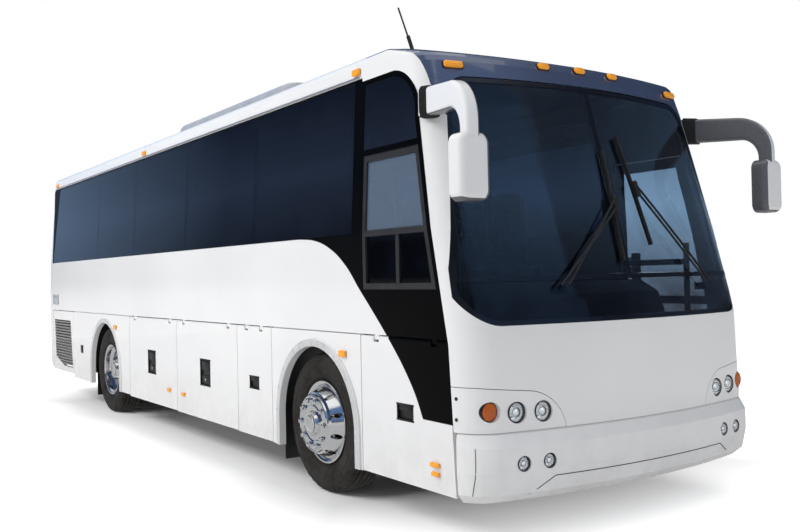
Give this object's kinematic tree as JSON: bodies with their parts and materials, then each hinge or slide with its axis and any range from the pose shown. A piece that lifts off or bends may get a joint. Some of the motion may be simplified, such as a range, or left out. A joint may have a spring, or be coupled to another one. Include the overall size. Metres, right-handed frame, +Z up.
{
  "type": "shuttle bus",
  "caption": "Mid-length right-hand-drive shuttle coach with twin rear wheels, luggage doors, an entry door on a swing arm, dark flush glass and a roof climate unit.",
  "frame": {"origin": "on the ground under the middle of the bus", "axes": "front faces -Y, +X is the bus's left, +Z is up"},
  "size_m": [2.925, 10.1, 3.3925],
  "materials": {
    "white_paint": "gloss",
    "black_paint": "gloss",
    "clear_glass": "clear",
    "tinted_glass": "tinted",
    "black_rubber": "matt",
    "tyre": "matt",
    "polished_aluminium": "polished",
    "mirror": "polished",
    "amber_lens": "gloss",
    "red_lens": "gloss",
    "chassis_paint": "satin",
    "black_plastic": "matt",
    "seat_fabric": "woven"
  },
  "bodies": {
    "body": {"aerial": "black_plastic", "amber_lamps": "amber_lens", "body_glass": "tinted_glass", "cab_panel": "black_paint", "cab_window_frame": "polished_aluminium", "chassis_frame": "chassis_paint", "dashboard": "black_plastic", "door_hinges": "chassis_paint", "driver_seat": "seat_fabric", "engine_block": "chassis_paint", "entry_header": "black_paint", "floor_deck": "chassis_paint", "front_axle": "chassis_paint", "front_bumper": "white_paint", "front_mask": "white_paint", "hatch_hinges": "chassis_paint", "headlamps": "clear_glass", "lamp_panels": "white_paint", "luggage_bay": "chassis_paint", "mirror_glass": "mirror", "mirrors": "white_paint", "parcel_racks": "black_plastic", "passenger_seats": "seat_fabric", "rear_axle": "chassis_paint", "rear_bumper": "white_paint", "rear_wall": "white_paint", "roof": "white_paint", "roof_cap": "black_paint", "roof_corners": "white_paint", "roof_unit": "white_paint", "side_walls": "white_paint", "skirts": "white_paint", "tail_lamps": "red_lens", "wheel_housings": "black_plastic", "windscreen": "clear_glass", "windscreen_frame": "black_rubber", "wipers": "black_rubber"},
    "knuckle_right": {"knuckle_right": "chassis_paint"},
    "knuckle_left": {"knuckle_left": "chassis_paint"},
    "wheel_front_right": {"rim_front_right": "polished_aluminium", "tyre_front_right": "tyre"},
    "wheel_front_left": {"rim_front_left": "polished_aluminium", "tyre_front_left": "tyre"},
    "wheel_rear_right": {"rim_rear_right": "polished_aluminium", "tyre_rear_right": "tyre"},
    "wheel_rear_left": {"rim_rear_left": "polished_aluminium", "tyre_rear_left": "tyre"},
    "entry_arm": {"entry_arm": "chassis_paint"},
    "entry_door": {"entry_door": "white_paint", "entry_glass": "clear_glass"},
    "engine_hatch": {"engine_hatch": "white_paint"},
    "fuel_door": {"fuel_door": "white_paint"},
    "battery_door": {"battery_door": "white_paint"},
    "service_door": {"service_door": "white_paint"},
    "luggage_door_right_front": {"luggage_door_right_front": "white_paint"},
    "luggage_door_right_rear": {"luggage_door_right_rear": "white_paint"},
    "luggage_door_left_front": {"luggage_door_left_front": "white_paint"},
    "luggage_door_left_rear": {"luggage_door_left_rear": "white_paint"},
    "engine_door_right": {"engine_door_right": "white_paint"},
    "engine_door_left": {"engine_door_left": "white_paint"}
  },
  "joints": [
    {"name": "steer_right", "type": "hinge", "parent": "body", "child": "knuckle_right", "pos_m": [-0.93, -3.05, 0.506], "axis": [0, 0, 1], "range_deg": [-42, 42]},
    {"name": "steer_left", "type": "hinge", "parent": "body", "child": "knuckle_left", "pos_m": [0.93, -3.05, 0.506], "axis": [0, 0, 1], "range_deg": [-42, 42]},
    {"name": "roll_front_right", "type": "hinge", "parent": "knuckle_right", "child": "wheel_front_right", "pos_m": [-1.09, -3.05, 0.506], "axis": [1, 0, 0], "continuous": true},
    {"name": "roll_front_left", "type": "hinge", "parent": "knuckle_left", "child": "wheel_front_left", "pos_m": [1.09, -3.05, 0.506], "axis": [1, 0, 0], "continuous": true},
    {"name": "roll_rear_right", "type": "hinge", "parent": "body", "child": "wheel_rear_right", "pos_m": [-1.09, 2.15, 0.506], "axis": [1, 0, 0], "continuous": true},
    {"name": "roll_rear_left", "type": "hinge", "parent": "body", "child": "wheel_rear_left", "pos_m": [1.09, 2.15, 0.506], "axis": [1, 0, 0], "continuous": true},
    {"name": "fuel_door_swing", "type": "hinge", "parent": "body", "child": "fuel_door", "pos_m": [-1.26, -2.022, 1.158], "axis": [0, 1, 0], "range_deg": [0, 90]},
    {"name": "battery_door_swing", "type": "hinge", "parent": "body", "child": "battery_door", "pos_m": [1.26, -2.022, 1.158], "axis": [0, -1, 0], "range_deg": [0, 90]},
    {"name": "service_door_swing", "type": "hinge", "parent": "body", "child": "service_door", "pos_m": [-1.26, -4.17, 1.158], "axis": [0, 1, 0], "range_deg": [0, 90]},
    {"name": "luggage_door_right_front_swing", "type": "hinge", "parent": "body", "child": "luggage_door_right_front", "pos_m": [-1.26, -0.9735, 1.158], "axis": [0, 1, 0], "range_deg": [0, 90]},
    {"name": "luggage_door_right_rear_swing", "type": "hinge", "parent": "body", "child": "luggage_door_right_rear", "pos_m": [-1.26, 0.4835, 1.158], "axis": [0, 1, 0], "range_deg": [0, 90]},
    {"name": "luggage_door_left_front_swing", "type": "hinge", "parent": "body", "child": "luggage_door_left_front", "pos_m": [1.26, -0.9735, 1.158], "axis": [0, -1, 0], "range_deg": [0, 90]},
    {"name": "luggage_door_left_rear_swing", "type": "hinge", "parent": "body", "child": "luggage_door_left_rear", "pos_m": [1.26, 0.4835, 1.158], "axis": [0, -1, 0], "range_deg": [0, 90]},
    {"name": "engine_door_right_swing", "type": "hinge", "parent": "body", "child": "engine_door_right", "pos_m": [-1.26, 4.668, 0.75], "axis": [0, 0, -1], "range_deg": [0, 110]},
    {"name": "engine_door_left_swing", "type": "hinge", "parent": "body", "child": "engine_door_left", "pos_m": [1.26, 4.668, 0.75], "axis": [0, 0, 1], "range_deg": [0, 110]},
    {"name": "engine_hatch_swing", "type": "hinge", "parent": "body", "child": "engine_hatch", "pos_m": [0, 5.028, 1.696], "axis": [1, 0, 0], "range_deg": [0, 80]},
    {"name": "entry_arm_swing", "type": "hinge", "parent": "body", "child": "entry_arm", "pos_m": [1.13, -4.45, 1.1], "axis": [0, 0, -1], "range_deg": [0, 90]},
    {"name": "entry_door_turn", "type": "hinge", "parent": "entry_arm", "child": "entry_door", "pos_m": [1.13, -3.89, 1.1], "axis": [0, 0, -1], "range_deg": [-90, 0]}
  ],
  "couplings": [
    {"joint": "steer_left", "follows": "steer_right", "ratio": 1},
    {"joint": "entry_door_turn", "follows": "entry_arm_swing", "ratio": -1}
  ]
}
